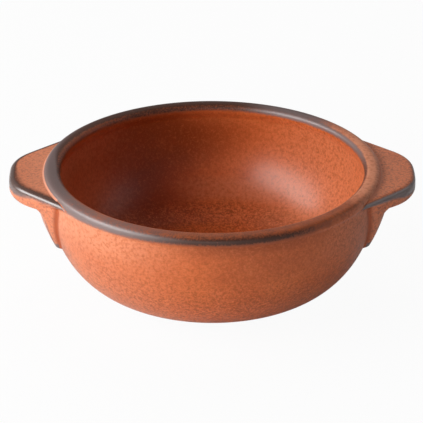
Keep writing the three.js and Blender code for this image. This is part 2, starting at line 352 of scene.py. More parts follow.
def bowl_places(points):
    """Where points of the bowl lie.

    right and front go from -1 to 1 round the pot, and across is the share of the way over the rim from
    its lip to its outer face."""
    plan = points[:, 0] + 1j * points[:, 1]
    height = points[:, 2]
    radius = np.abs(plan)
    across = np.clip((radius - LIP_RADIUS) / (RIM_RADIUS - LIP_RADIUS), 0, 1)
    across = np.where((across < RIM_MIDDLE) & (height < LIP_ROUND_FOOT), 0, across)
    right, front = np.cos(np.angle(plan)), -np.sin(np.angle(plan))
    at = SimpleNamespace(plan=plan, height=height, radius=radius, across=across, right=right, front=front)
    at.outside = radius > wall_radius(height) - SKIN_DEPTH
    at.in_front = mark(at, front=FRONT)
    at.in_front_right = mark(at, at.in_front, right=FRONT_RIGHT)
    at.worn = smooth(0, 1, (right - lerp(*WORN_START, at.in_front)) / lerp(*WORN_RUN, at.in_front))
    return at


def rim_masks(points):
    """Dark glaze on the rim: ashen grey at the left, partly a painted sheen where the key light catches it,
    black at the back with a painted highlight on its inner side at the back right, red-brown in front, worn
    at the right with a painted sheen on its outer face.

    Painted shade and sheen grey the outside where it turns away from the light at the left."""
    at = bowl_places(points)
    left = mark(at, right=(-0.1, -0.65), front=(-0.75, -0.1))
    back_left = mark(at, right=FAR_LEFT, front=(0.05, -0.3))
    back_right = mark(at, right=(0.15, 0.5), front=(0.1, -0.3))
    outer_side = mark(at, across=(0.6, 0.75))

    crown = lerp(CROWN_DARK, lerp(*CROWN_FRONT_DARK, at.across), at.in_front)
    crown = lerp(crown, CROWN_FRONT_RIGHT_DARK, at.in_front_right)
    crown = lerp(crown, lerp(*CROWN_WORN_DARK, outer_side), at.worn)

    face_run = lerp(FACE_RUN, FACE_LEFT_RUN, left)
    face_run = lerp(face_run, FACE_FAR_LEFT_RUN, mark(at, right=(-0.6, -0.95)))
    face = lerp(FACE_DARK, FACE_RIGHT_DARK, mark(at, right=(0.3, 0.9)))
    face = face * smooth(LUG_TOP - face_run, LUG_TOP + FACE_FADE, at.height)

    lip = lerp(lerp(LIP_DARK, LIP_FRONT_DARK, at.in_front), LIP_FRONT_RIGHT_DARK, at.in_front_right)
    lip = lerp(lip, LIP_BACK_LEFT_DARK, back_left)
    lip = lerp(lip, LIP_WORN_DARK, at.worn)
    lip = lip * smooth(LUG_TOP - lerp(LIP_RUN, LIP_LEFT_RUN, left), LUG_TOP + LIP_FADE, at.height)

    crown_start = lerp(CROWN_START, CROWN_BACK_LEFT_START, back_left)
    inner_half = lerp(lip, crown, smooth(LIP_END, crown_start, at.across - LIP_END * left))
    on_face = mark(at, height=(POT_HEIGHT - CROWN_END_FALL, POT_HEIGHT - FACE_START_FALL))
    edge = np.where(at.across > RIM_MIDDLE, lerp(crown, face, on_face), inner_half)

    # Grey ash at the left, partly a painted sheen; a painted highlight at the back right and a painted
    # sheen on the worn face
    left_shine = left * smooth(lerp(*SHINE_START, back_left), lerp(*SHINE_FULL, back_left), at.across)
    ash_and_sheen = np.maximum(LEFT_ASH_AND_SHEEN * left_shine, WORN_FACE_SHEEN * at.worn * outer_side)
    ash_and_sheen = np.maximum(ash_and_sheen, mark(at, BACK_RIGHT_HIGHLIGHT * back_right, across=(0.75, 0.4)))
    gloss = np.maximum(lerp(LEFT_GLOSS, FRONT_GLOSS, at.in_front) * left_shine, back_right)

    # Painted shade and sheen on the outside at the far left, where the wall turns away from the key light
    by_lug = mark(at, height=(LUG_END + 2, LUG_END + 12))
    flank_shade_and_sheen = mark(at, right=(-0.7, -1.0), height=(6, 28)) * lerp(1, FLANK_SHADE_BY_LUG, by_lug)
    flank_shade_and_sheen = np.where(at.outside, flank_shade_and_sheen, 0)
    on_rim = at.height > BEAD_FOOT - face_run
    return {
        "edge": np.where(on_rim, edge, FLANK_SHADE_DARK * flank_shade_and_sheen),
        "ash_and_sheen": np.where(on_rim, ash_and_sheen, flank_shade_and_sheen),
        "gloss": np.where(on_rim, gloss, 0),
    }


# How tan the rim is where it is worn, how strong the painted highlight along its front lip is, and the tan
# of the wall, which on the outer left and on the inside is a painted sheen: a pair goes from low to high
WORN_TAN = 0.85
FRONT_LIP_HIGHLIGHT = 0.7
OUTER_LEFT_SHEEN = (0.35, 0.7)
OUTER_RIGHT_TAN = 0.2
INNER_LEFT_SHEEN = (0.22, 0.4)
INNER_RIGHT_SHEEN = 0.28
BACK_TURN_SHEEN = 0.24


def tan_and_sheen_masks(points):
    """Tan glaze on the worn rim and on the outer right; a painted highlight along the front lip; painted
    sheen high on the outer left, inside on both sides and where the back of the wall meets the floor.
    """
    at = bowl_places(points)
    # Painted highlight along the front lip's edge, which is also rubbed there
    front_lip = mark(at, at.in_front * (1 - at.in_front_right), across=(0.2, 0.05),
                     height=(LUG_TOP - 0.6, LUG_TOP + 0.4))
    rim = np.maximum(mark(at, WORN_TAN * at.worn, across=(0.02, 0.2)), FRONT_LIP_HIGHLIGHT * front_lip)

    # Painted sheen high on the outer left
    outer_left = mark(at, lerp(*OUTER_LEFT_SHEEN, mark(at, height=(40, 56))), right=(-0.05, -0.7))
    outer_right = mark(at, OUTER_RIGHT_TAN, right=(0.5, 0.85), height=(34, 50))

    # Painted sheen inside on both sides and along the back turn
    inner_left = mark(at, lerp(*INNER_LEFT_SHEEN, mark(at, height=(44, 56))), right=FAR_LEFT)
    inner_right = mark(at, INNER_RIGHT_SHEEN, right=(0.25, 0.8))
    inner_sides = mark(at, np.maximum(inner_right, inner_left), radius=(40, 56))
    back_turn = mark(at, BACK_TURN_SHEEN, height=(16.5, 20), height_end=(30, 24),
                     right=(-0.45, -0.05), right_end=(0.75, 0.45), front=(0.3, 0))

    wall = np.where(at.outside, np.maximum(outer_left, outer_right), np.maximum(inner_sides, back_turn))
    return {"tan": lerp(wall, rim, mark(at, height=(BEAD_FOOT - 1, BEAD_FOOT + 1)))}


# How deep the painted shade is on the outside, on the left of the inside, where a pair goes from thick to
# thin, and on the floor; how far it draws back to the left low down and at the floor, and where it starts
# and is full, in pairs that go from the wall to the floor. The middle mark on the outside is a plain darker
# patch
UNDER_BEAD_SHADE = 0.82
MIDDLE_DEEP = 0.22
LOW_RIGHT_SHADE = 0.3
FOOT_RIGHT_SHADOW = 0.45
INNER_SHADE_DEPTH = (1.1, 0.6)
INNER_SHADE_LOW_SHIFT = 0.45
INNER_SHADE_FLOOR_SHIFT = 0.1
INNER_SHADE_START = (0.45, 0.35)
INNER_SHADE_FULL = (-0.25, -0.1)
FLOOR_SHADE = 0.55
FLOOR_SLANT = 0.4
FLOOR_SPREAD = (-6, 36)
RIGHT_TURN_SHADE = 0.6
FLOOR_LEVEL_ROOM = 0.1


def painted_shade_masks(points):
    """Painted shade: under the bead, low on the right outside and as a shadow by the foot at the right, and
    on the inner left, the floor and the low right turn; also a plain darker patch in the middle of the
    outside.
    """
    at = bowl_places(points)
    outer = np.maximum.reduce([
        mark(at, UNDER_BEAD_SHADE, height=(BEAD_FOOT - 10, BEAD_FOOT - 1),
             right=(-0.5, 0.1), right_end=(0.8, 0.4)),
        mark(at, MIDDLE_DEEP, height=(34, 44), right=(-0.1, 0.2), right_end=(0.75, 0.45)),
        mark(at, LOW_RIGHT_SHADE, right=(0.2, 0.6), height=(40, 24)),
        mark(at, FOOT_RIGHT_SHADOW, right=(-0.1, 0.3), height=(13, 5)),
    ])

    # Painted shade on the inside at the back left and far left, deepening the shadow that the left rim
    # casts there
    far_left = mark(at, right=FAR_LEFT, height=(18, 34))
    high_back = mark(at, height=(50, 60), right=(-0.35, -0.05))
    bottom = mark(at, height=(18, 12))
    place = at.right + INNER_SHADE_LOW_SHIFT * mark(at, height=(44, 22)) + INNER_SHADE_FLOOR_SHIFT * bottom
    painted_shade = lerp(*INNER_SHADE_DEPTH, np.maximum(far_left, high_back))
    painted_shade = painted_shade * smooth(lerp(*INNER_SHADE_START, bottom), lerp(*INNER_SHADE_FULL, bottom), place)
    painted_shade = mark(at, painted_shade, front=(0.6, 0.2), radius=OFF_AXIS)

    # Painted shade on the floor, stronger to the right where the key light falls on it, and low in the
    # right turn
    slant = at.plan.real - FLOOR_SLANT * at.plan.imag
    floor = FLOOR_SHADE * smooth(*FLOOR_SPREAD, slant)
    floor = mark(at, floor, radius=(FLOOR_RADIUS + 12, FLOOR_RADIUS - 2))
    floor = np.where(at.height > FLOOR_TOP - FLOOR_LEVEL_ROOM, floor, 0)
    right_turn = mark(at, RIGHT_TURN_SHADE, right=(0.3, 0.65), height=(20, 12), radius=OFF_AXIS)
    return {"deep": np.where(at.outside, outer, np.maximum.reduce([floor, right_turn, painted_shade]))}


# How strong the speckle is on the outside, from high to low and at the right, and on the inside
OUTER_SPECKLE = (0.4, 0.85)
OUTER_RIGHT_SPECKLE = 0.75
INNER_SPECKLE = 0.35
INNER_RIGHT_SPECKLE = 0.3


def speckle_masks(points):
    """Speckle: strongest low on the wall, at the right and on the floor."""
    at = bowl_places(points)
    outer_right = mark(at, OUTER_RIGHT_SPECKLE, right=(0.4, 0.8))
    outer = np.maximum(lerp(*OUTER_SPECKLE, mark(at, height=(46, 22))), outer_right)
    inner = INNER_SPECKLE + mark(at, INNER_RIGHT_SPECKLE, right=(0.3, 0.8))
    inner = np.maximum(inner, mark(at, radius=(66, 57)))
    return {"speckle": np.where(at.outside, outer, inner)}


def foot_masks(points):
    """Bare clay under the foot ring."""
    at = bowl_places(points)
    on_ring = (at.radius > FOOT_INNER - BASE_FILLET) & (at.radius < FOOT_RADIUS + BASE_FILLET)
    return {"bare": np.where(on_ring & (at.height < FOOT_HEIGHT), mark(at, height=(1.6, 0.7)), 0)}


def turned(name, section, *masks_at):
    """A section turned about Z, closed at the axis, with the masks that masks_at give at its points."""
    angles = np.linspace(0, WHOLE_TURN, TURN_STEPS, endpoint=False)
    ring = section[1:-1]
    x = ring.real[:, None] * np.cos(angles)
    y = ring.real[:, None] * np.sin(angles)
    z = np.repeat(ring.imag[:, None], TURN_STEPS, axis=1)
    skin = np.stack([x, y, z], axis=-1).reshape(-1, 3)
    points = np.concatenate([[[0, 0, section[0].imag]], skin, [[0, 0, section[-1].imag]]])
    values = {}
    for add_masks in masks_at:
        values.update(add_masks(points))
    faces = []
    rows = len(ring)
    last = 1 + (rows - 1) * TURN_STEPS
    for j in range(TURN_STEPS):
        k = (j + 1) % TURN_STEPS
        faces.append((0, 1 + k, 1 + j))
        faces.append((last + j, last + k, len(points) - 1))
        for i in range(rows - 1):
            low, high = 1 + i * TURN_STEPS, 1 + (i + 1) * TURN_STEPS
            faces.append((low + j, low + k, high + k, high + j))
    return new_mesh(name, points, faces, values, BOWL_SHARP_DEGREES)


# Lugs

def at_distances(first, first_distance, second, second_distance):
    """The point at given distances from two centres, left of the way from the first to the second."""
    way = second - first
    span = abs(way)
    along = (first_distance**2 - second_distance**2 + span**2) / (2 * span)
    aside = math.sqrt(first_distance**2 - along**2)
    return first + way / span * complex(along, aside)


def resampled(line, steps):
    """A line of complex points, spaced evenly along its length."""
    run = np.concatenate([[0], np.cumsum(np.abs(np.diff(line)))])
    at = np.linspace(0, run[-1], steps + 1)
    return np.interp(at, run, line.real) + 1j * np.interp(at, run, line.imag)


def web_plan(height):
    """Reach, corner and root half width of the web at a height."""
    share = min(max((height - LUG_END) / (WING_UNDERSIDE - LUG_END), 0), 1)
    depth = lerp(WEB_END_DEPTH, WEB_TOP_DEPTH, share)
    root_half = lerp(WEB_END_HALF, WEB_TOP_HALF, share)
    corner_half = root_half - WEB_FLANK_SPREAD * depth
    reach = wall_radius(height) + depth
    return reach, complex(math.sqrt(reach**2 - corner_half**2), corner_half), root_half


def root_spread(height):
    """How far the wing's root has spread at a height: 0 on the web and 1 at the wing's edge."""
    share = (height - LUG_TOP + WING_EDGE_THICKNESS) / WING_ROOT_COVE + 1
    return 1 - math.cos(min(max(share, 0), 1) * QUARTER_TURN)


def slip_depth(height):
    """How far from the wall the slip shows at a height."""
    at_wing = smooth(WING_UNDERSIDE, LUG_TOP - WING_EDGE_THICKNESS, height)
    return lerp(SLIP_DEPTH, SLIP_TOP_DEPTH, at_wing)


def lug_section(height, flare, inset):
    """Half of a level section, from the tip to the wall: what the lug shows, then what the slip shows."""
    wall = wall_radius(height)
    web_reach, web_corner, web_root = web_plan(height)
    spread = root_spread(height)
    reach = lerp(web_reach, WING_REACH, flare)
    corner = lerp(web_corner, WING_CORNER, flare)
    root_half = lerp(web_root, WING_ROOT_HALF, spread)
    root = complex(math.sqrt(wall**2 - root_half**2), root_half)

    bulge = reach - corner.real
    front_radius = (corner.imag**2 + bulge**2) / (2 * bulge)
    front_centre = complex(reach - front_radius, 0)

    chord = root - corner
    outward = -1j * chord / abs(chord)
    bow = FLANK_BOW + WING_FLANK_BOW * max(flare - spread, 0)
    flank_radius = (abs(chord) ** 2 / 4 + bow**2) / (2 * bow)
    flank_centre = (corner + root) / 2 + outward * (bow - flank_radius)

    turn = cmath.phase(outward) - cmath.phase(corner - front_centre)
    room = min(corner.imag, abs(chord) / 2) / math.tan(turn / 2)
    corner_radius = min(lerp(WEB_CORNER_RADIUS, WING_CORNER_RADIUS, flare), room)
    corner_centre = at_distances(front_centre, front_radius - corner_radius,
                                 flank_centre, flank_radius - corner_radius)
    front_angle = cmath.phase(corner_centre - front_centre)
    flank_angle = cmath.phase(corner_centre - flank_centre)

    fillet_centre = at_distances(0j, wall + ROOT_FILLET,
                                 flank_centre, flank_radius - inset + ROOT_FILLET)
    root_angle = cmath.phase(fillet_centre - flank_centre)
    wall_angle = cmath.phase(fillet_centre)

    front = arc(front_centre, front_radius - inset, 0, front_angle, FRONT_STEPS)
    bend = arc(corner_centre, corner_radius - inset, front_angle, flank_angle, CORNER_STEPS)
    flank = arc(flank_centre, flank_radius - inset, flank_angle, root_angle, TRACE_STEPS)
    fillet = arc(fillet_centre, ROOT_FILLET, root_angle + HALF_TURN, wall_angle + HALF_TURN, TRACE_STEPS)

    side = np.concatenate([flank, fillet[1:]])
    depth = np.abs(side) - outside_radius(height) - slip_depth(height)
    cut = int(np.argmax(depth < 0))
    parting = lerp(side[cut - 1], side[cut], depth[cut - 1] / (depth[cut - 1] - depth[cut]))
    shown = resampled(np.append(side[:cut], parting), FLANK_STEPS)
    bedded = resampled(np.insert(side[cut:], 0, parting), SLIP_STEPS)
    return np.concatenate([front, bend[1:], shown[1:]]), bedded


def lug_levels():
    """Heights of the lug's level sections, with the flare and inset of each, from the lower end up."""
    overhang = WING_REACH - web_plan(WING_UNDERSIDE)[0]
    cove_run = min(COVE_RADIUS, overhang / 2)
    lower_run = min(WING_LOWER_ROUND, overhang / 2)
    web_foot = LUG_END + WEB_END_ROUND
    web_head = WING_UNDERSIDE - COVE_RADIUS
    wing_foot = WING_UNDERSIDE + WING_LOWER_ROUND
    wing_head = LUG_TOP - WING_TOP_ROUND
    angles = np.linspace(0, QUARTER_TURN, LUG_ROUND_STEPS + 1)
    turns = [(math.sin(angle), math.cos(angle)) for angle in angles]
    levels = [(web_foot - WEB_END_ROUND * c, 0, WEB_END_ROUND * (1 - s)) for s, c in turns]
    levels += [(lerp(web_foot, web_head, i / WEB_STEPS), 0, 0) for i in range(1, WEB_STEPS)]
    levels += [(web_head + COVE_RADIUS * s, cove_run * (1 - c) / overhang, 0) for s, c in turns]
    levels += [(wing_foot - WING_LOWER_ROUND * c, 1 - lower_run * (1 - s) / overhang, 0) for s, c in turns]
    levels += [(lerp(wing_foot, wing_head, i / WING_STEPS), 1, 0) for i in range(1, WING_STEPS)]
    levels += [(wing_head + WING_TOP_ROUND * s, 1, WING_TOP_ROUND * (1 - c)) for s, c in turns]
    return levels


def both_sides(half):
    """A half outline from the tip to the wall, made whole from wall to wall."""
    return np.concatenate([half[:0:-1].conjugate(), half])


def closed_strip(loops):
    """Faces of a strip of closed loops, one loop per column, whose two end loops are folded shut."""
    columns, count = loops.shape[:2]
    faces = []
    for c in range(columns - 1):
        for k in range(count):
            a, b = c * count + k, c * count + (k + 1) % count
            faces.append((a, b, b + count, a + count))
    for c in (0, columns - 1):
        for k in range(count // 2 - (1 - count % 2)):
            a, b = c * count + k, c * count + k + 1
            d, e = c * count + count - 1 - k, c * count + count - 2 - k
            faces.append((a, d, e, b) if c == 0 else (a, b, e, d))
    return faces


levels = lug_levels()
heights = np.array([level[0] for level in levels])
sections = [lug_section(*level) for level in levels]
lug_outlines = np.array([both_sides(section[0]) for section in sections])
slip_edges = np.array([section[1] for section in sections])
bowl_radii = outside_radius(heights)


def lug_piece(name, turn, top_dark, web_dark):
    """One lug, from the slip outwards."""
    split = bowl_radii + slip_depth(heights)
    unit = lug_outlines / np.abs(lug_outlines)
    back = unit * (split - SLIP_OVERLAP)[:, None]
    top_cap = lerp(lug_outlines[-1], unit[-1] * split[-1], np.array(CAP_SHARES)[:, None])
    low_cap = lerp(lug_outlines[0], unit[0] * split[0], np.array(LOW_CAP_SHARES)[:, None])[::-1]
    plan = np.concatenate([low_cap, lug_outlines, top_cap, back[::-1]])
    low_z = np.full(len(low_cap), heights[0])
    top_z = np.full(len(top_cap), heights[-1])
    z = np.concatenate([low_z, heights, top_z, heights[::-1]])
    columns = plan.T
    columns_z = np.broadcast_to(z, columns.shape)
    spun = columns * cmath.exp(1j * turn)
    points = np.stack([spun.real, spun.imag, columns_z], axis=-1)
    masks = lug_masks(columns, columns_z, -math.cos(turn), top_dark, web_dark)
    return new_mesh(name, points.reshape(-1, 3), closed_strip(points), masks, LUG_SHARP_DEGREES)


# Dark glaze on a lug's top, in widths from its edge that go from its far side to its near side; on its
# side, in runs below its top that go from its root to its tip; and on its lower edge and its web, whose
# lower end is also a painted shadow
TOP_LEVEL_ROOM = 0.01
TOP_EDGE_WIDTH = (1.0, 5.0)
TOP_EDGE_FADE = (-0.3, 1)
SIDE_RUN = (2.8, 4.8)
SIDE_RUN_CUT = 1.1
SIDE_FADE_BELOW = 2.4
SIDE_FADE_ABOVE = 0.9
LOWER_EDGE_DARK = 0.3
LOWER_EDGE_HEIGHT = 0.8
LOWER_EDGE_WIDTH = 1.2
WEB_CORNER_SPREAD = 0.4
WEB_END_DARK_AND_SHADE = 0.95

# Ash, which is partly a painted sheen, gloss, a painted highlight on the web's corners, tan with painted
# light near the top's root, painted shade on a light top, pooled glaze with painted crease shade, and
# speckle on a lug; a pair goes from a light top to a dark one
SIDE_ASH_AND_SHEEN = (0.6, 0.1)
SIDE_LOW_ASH_AND_SHEEN = 0.4
SIDE_GLOSS = 0.75
WEB_CORNER_HIGHLIGHT = 0.6
TOP_ROOT_LIGHT = (0.1, 0.25)
TOP_TAN = 0.12
SIDE_TAN = 0.25
TOP_SHADE = 0.06
LUG_SPECKLE = (0.9, 0.7)
POOL_AND_SHADE_HEIGHT = (LUG_TOP - 1.0, LUG_TOP - 3.0)


def lug_masks(columns, columns_z, front, top_dark, web_dark):
    """Glaze masks of a lug: dark on its upper and lower edges and web corners, with a painted shadow at the
    web's lower end and a painted highlight on light web corners; grey ash on its side that is partly a
    painted sheen; painted light on the top near its root and painted shade on a light top; pooled glaze
    with painted crease shade at its root.

    front is 1 or -1, the side of the lug's own Y that faces the viewer; top_dark is how much of the dark
    edge reaches onto the top, and web_dark how dark the web's corners are."""
    at = SimpleNamespace(height=columns_z, nearness=columns.imag * front)
    at.from_wall = np.abs(columns) - outside_radius(columns_z)
    at.round_share = (columns_z - (LUG_TOP - WING_TOP_ROUND)) / WING_TOP_ROUND
    on_top = columns_z > LUG_TOP - TOP_LEVEL_ROOM

    from_edge = nearest(columns.reshape(-1), lug_outlines[-1]).reshape(columns.shape)
    width = lerp(*TOP_EDGE_WIDTH, mark(at, nearness=(-10, 10)))
    top = top_dark * (1 - smooth(*TOP_EDGE_FADE, from_edge / width))
    side_foot = LUG_TOP - lerp(*SIDE_RUN, mark(at, from_wall=(9, 17))) + SIDE_RUN_CUT * top_dark
    side = smooth(side_foot - SIDE_FADE_BELOW, side_foot + SIDE_FADE_ABOVE, columns_z)
    side = side * lerp(1, top_dark, mark(at, round_share=(0.5, 0.95)))
    upper_edge = np.where(on_top, top, side)
    lower_edge = np.exp(-((columns_z - WING_UNDERSIDE - LOWER_EDGE_HEIGHT) / LOWER_EDGE_WIDTH) ** 2)
    lower_edge = mark(at, LOWER_EDGE_DARK * lower_edge, from_wall=(2, 16))

    count = columns.shape[0]
    from_bend = np.abs(np.arange(count) - count // 2) - (FRONT_STEPS + CORNER_STEPS / 2)
    web_corner = np.exp(-((from_bend / (WEB_CORNER_SPREAD * CORNER_STEPS)) ** 2))[:, None]
    web_corner = mark(at, web_corner, height=(WING_UNDERSIDE - 1, WING_UNDERSIDE - 13))
    # Near-black at the web's lower end: partly the dark glaze over the end, partly a painted shadow under
    # it
    web_end_dark_and_shade = mark(at, WEB_END_DARK_AND_SHADE, height=(LUG_END + 5.2, LUG_END + 1.4))

    # Grey ash on the side, partly a painted sheen
    side_ash_and_sheen = lerp(*SIDE_ASH_AND_SHEEN, top_dark) + mark(at, SIDE_LOW_ASH_AND_SHEEN, round_share=(0.4, -0.2))
    # Painted light on the top near its root by the bead, and more tan over a dark top
    top_tan_and_light = mark(at, lerp(*TOP_ROOT_LIGHT, top_dark), from_wall=(12, 3)) + TOP_TAN * top_dark
    masks = {
        "edge": np.maximum.reduce([upper_edge, lower_edge, web_dark * web_corner, web_end_dark_and_shade]),
        "ash_and_sheen": np.where(on_top, 0, side_ash_and_sheen),
        "gloss": np.where(on_top, 0, SIDE_GLOSS),
        "tan": np.where(on_top, top_tan_and_light, SIDE_TAN * top_dark),
        # painted shade on a light top
        "deep": np.where(on_top, TOP_SHADE * (1 - top_dark), 0),
        # pooled glaze and painted crease shade where the lug meets the bead
        "pool_and_crease_shade": mark(at, from_wall=(2.4, 0.9), height=POOL_AND_SHADE_HEIGHT),
        # painted highlight on the corners of a web that is not dark
        "pale_and_highlight": WEB_CORNER_HIGHLIGHT * (1 - web_dark) * web_corner,
        "speckle": np.full(columns.shape, lerp(*LUG_SPECKLE, top_dark)),
    }
    return {key: mask.reshape(-1) for key, mask in masks.items()}


# Pooled glaze with painted crease shade in the seam, on the slip and on the wall beside it, a pale line
# beside it that is partly a painted highlight, and where on the bowl the seams are looked for
SLIP_POOL_AND_SHADE = 0.95
SEAM_POOL_AND_SHADE = 0.7
SEAM_PALE_AND_HIGHLIGHT = 0.22
SEAM_BELOW_LUG = 6.0
SEAM_ASIDE = 40.0
FAR_OFF = 99.0


def slip_piece(name, turn, top_pale_and_highlight):
    """The slip under one lug, with the fillet that it makes against the wall and the bead."""
    rows = []
    for edge in slip_edges:
        reach = cmath.phase(edge[0])
        span = arc(0, abs(edge[0]), -reach, reach, SLIP_SPAN_STEPS)
        rows.append(np.concatenate([edge[:0:-1].conjugate(), span, edge[1:]]))
    outer = np.array(rows)
    radius = np.abs(outer)
    unit = outer / radius
    back = unit * (np.minimum(bowl_radii[:, None], radius) - SLIP_BURIED)
    proud = np.clip((radius[-1] - bowl_radii[-1]) / SLIP_TOP_DEPTH, 0, 1)
    shares = np.linspace(0, 1, SLIP_CAP_STEPS + 1)
    cap_start = radius[-1] + SLIP_CAP_LAP * proud
    cap_end = np.minimum(radius[-1], bowl_radii[-1]) - SLIP_BURIED
    cap = np.array([unit[-1] * lerp(cap_start, cap_end, s) for s in shares])
    cap_z = np.array([heights[-1] + proud * (SLIP_CAP_LIFT + SLIP_RISE * s**2) for s in shares])
    level_z = np.repeat(heights[:, None], outer.shape[1], axis=1)
    plan = np.concatenate([outer, cap, back[::-1]])
    z = np.concatenate([level_z, cap_z, level_z[::-1]])
    spun = plan.T * cmath.exp(1j * turn)
    points = np.stack([spun.real, spun.imag, z.T], axis=-1)
    # Pooled glaze and painted crease shade on the slip, and a pale cap that is partly a painted highlight
    pool_and_crease_shade = SLIP_POOL_AND_SHADE * smooth(*POOL_AND_SHADE_HEIGHT, z.T)
    pale_and_highlight = np.zeros(plan.T.shape)
    pale_and_highlight[:, len(heights):len(heights) + len(shares)] = top_pale_and_highlight
    masks = {"pool_and_crease_shade": pool_and_crease_shade.reshape(-1), "pale_and_highlight": pale_and_highlight.reshape(-1)}
    return new_mesh(name, points.reshape(-1, 3), closed_strip(points), masks, LUG_SHARP_DEGREES)


def seam_masks(points):
    """Pooled glaze and painted crease shade on the wall beside each lug's fillet, with a slightly paler
    line next to it that is partly a painted highlight.
    """
    at = bowl_places(points)
    side = np.angle(slip_edges[:, -1]) * WALL_RADIUS + 1j * heights
    line = np.concatenate([(-side.real + 1j * side.imag)[::-1], side])
    near = at.outside & (at.height > LUG_END - SEAM_BELOW_LUG) & (at.height < BEAD_FOOT)
    near = near & (np.abs(at.plan.real) > SEAM_ASIDE)
    folded = np.where(at.plan.real < 0, -at.plan, at.plan)
    unrolled = np.angle(folded) * WALL_RADIUS + 1j * at.height
    at.distance = np.full(len(points), FAR_OFF)
    at.distance[near] = nearest(unrolled[near], line)
    return {
        "pool_and_crease_shade": mark(at, SEAM_POOL_AND_SHADE, distance=(1.4, 0)),
        "pale_and_highlight": mark(at, SEAM_PALE_AND_HIGHLIGHT, distance=(0.6, 1.4), distance_end=(3.4, 1.8)),
    }


# Each lug's turn about the axis, how far its dark edge reaches onto its top, how dark its web's corners are
# and how pale the slip is along its top, which is partly a painted highlight along the bead's foot
LUGS = {
    "right": {"turn": 0.0, "top_dark": 0.2, "web_dark": 0.0, "top_pale_and_highlight": 0.6},
    "left": {"turn": HALF_TURN, "top_dark": 1.0, "web_dark": 0.7, "top_pale_and_highlight": 1.0},
}

bowl_masks = (rim_masks, tan_and_sheen_masks, painted_shade_masks, speckle_masks, foot_masks, seam_masks)
bowl = turned("pot_bowl", bowl_section(), *bowl_masks)
pieces = {"bowl_body": (bowl, "bowl_glaze")}
for side, look in LUGS.items():
    lug = lug_piece(f"pot_lug_{side}", look["turn"], look["top_dark"], look["web_dark"])
    slip = slip_piece(f"pot_slip_{side}", look["turn"], look["top_pale_and_highlight"])
    pieces[f"handle_{side}"] = (lug, "lug_glaze")
    pieces[f"luting_slip_{side}"] = (slip, "fired_slip")


# Glaze

class Graph:
    """The shader nodes of a material or a world."""

    def __init__(self, owner):
        owner.use_nodes = True
        self.tree = owner.node_tree
        self.tree.nodes.clear()

    def node(self, kind, inputs=None, **settings):
        """A new node's outputs; inputs that are sockets are linked, and others are set."""
        made = self.tree.nodes.new(kind)
        for key, value in settings.items():
            setattr(made, key, value)
        for key, value in (inputs or {}).items():
            if isinstance(value, bpy.types.NodeSocket):
                self.tree.links.new(value, made.inputs[key])
            else:
                made.inputs[key].default_value = value
        return made.outputs

    def maths(self, operation, a, b, clamp=False):
        return self.node("ShaderNodeMath", {0: a, 1: b}, operation=operation, use_clamp=clamp)[0]

    def product(self, a, b):
        return self.maths("MULTIPLY", a, b)

    def stirred(self, value, pattern, amount):
        """A value moved up and down by a noise."""
        return self.maths("ADD", value, self.product(self.maths("SUBTRACT", pattern, NOISE_MIDDLE), amount))

    def step(self, value, low, high, start=0.0, end=1.0):
        """Smooth step from start at low to end at high."""
        inputs = {"Value": value, "From Min": low, "From Max": high, "To Min": start, "To Max": end}
        return self.node("ShaderNodeMapRange", inputs, interpolation_type="SMOOTHSTEP")[0]

    def mix(self, share, under, over):
        """A colour with a share of another over it."""
        inputs = {0: share, 6: under, 7: over}
        return self.node("ShaderNodeMix", inputs, data_type="RGBA", clamp_factor=True)[2]

    def noise(self, place, scale, detail, roughness):
        inputs = {"Vector": place, "Scale": scale, "Detail": detail, "Roughness": roughness}
        return self.node("ShaderNodeTexNoise", inputs)[0]


WHITE = (1, 1, 1, 1)
BODY = (0.68, 0.157, 0.042, 1)
DEEP = (0.57, 0.116, 0.028, 1)
LUG_BODY = (0.79, 0.25, 0.118, 1)
LUG_DEEP = (0.64, 0.196, 0.091, 1)
SPECK = (0.33, 0.068, 0.012, 1)
LUG_SPECK = (0.33, 0.092, 0.053, 1)
SPARK = (0.84, 0.24, 0.085, 1)
TAN_AND_SHEEN_COLOUR = (0.76, 0.31, 0.175, 1)
POOL_AND_SHADE_COLOUR = (0.38, 0.075, 0.020, 1)
PAINTED_SHADE_COLOUR = (0.262, 0.046, 0.009, 1)
PALE_HIGHLIGHT_COLOUR = (0.80, 0.43, 0.31, 1)
EDGE_DARK = (0.043, 0.017, 0.010, 1)
EDGE_RED = (0.215, 0.064, 0.032, 1)
ASH_AND_SHEEN_GREY = (0.155, 0.104, 0.100, 1)
BARE_CLAY = (0.52, 0.33, 0.20, 1)

# Noises of the glaze: scale, detail and roughness
CLOUD = (34, 3, 0.5)
PATCH = (210, 3, 0.6)
RELIEF = (420, 2, 0.5)
MOTTLE = (600, 2, 0.5)
DOTS = (1150, 2, 0.5)
GRAIN = (1900, 2, 0.6)
NOISE_MIDDLE = 0.5

# How much of each colour shows, and how far the noises break up the dark edge
PATCH_SHARE = 0.4
PAINTED_SHADE_SHARE = 0.9
TAN_LEAST_SHARE = 0.45
POOL_AND_SHADE_SHARE = 0.8
PALE_HIGHLIGHT_SHARE = 0.55
DARK_SHARE = 0.96
PATCH_BREAK = 0.5
DOTS_BREAK = 0.7
RED_BREAK = 0.9

# Shine and relief
SMOOTH_ROUGHNESS = 0.29
GRAINY_ROUGHNESS = 0.37
DARK_ROUGHER = 0.1
BARE_ROUGHER = 0.35
GRAIN_RELIEF = 0.5
BUMP_STRENGTH = 0.25
BUMP_DISTANCE = 0.00012
GLAZE_IOR = 1.45
COAT_IOR = 1.9


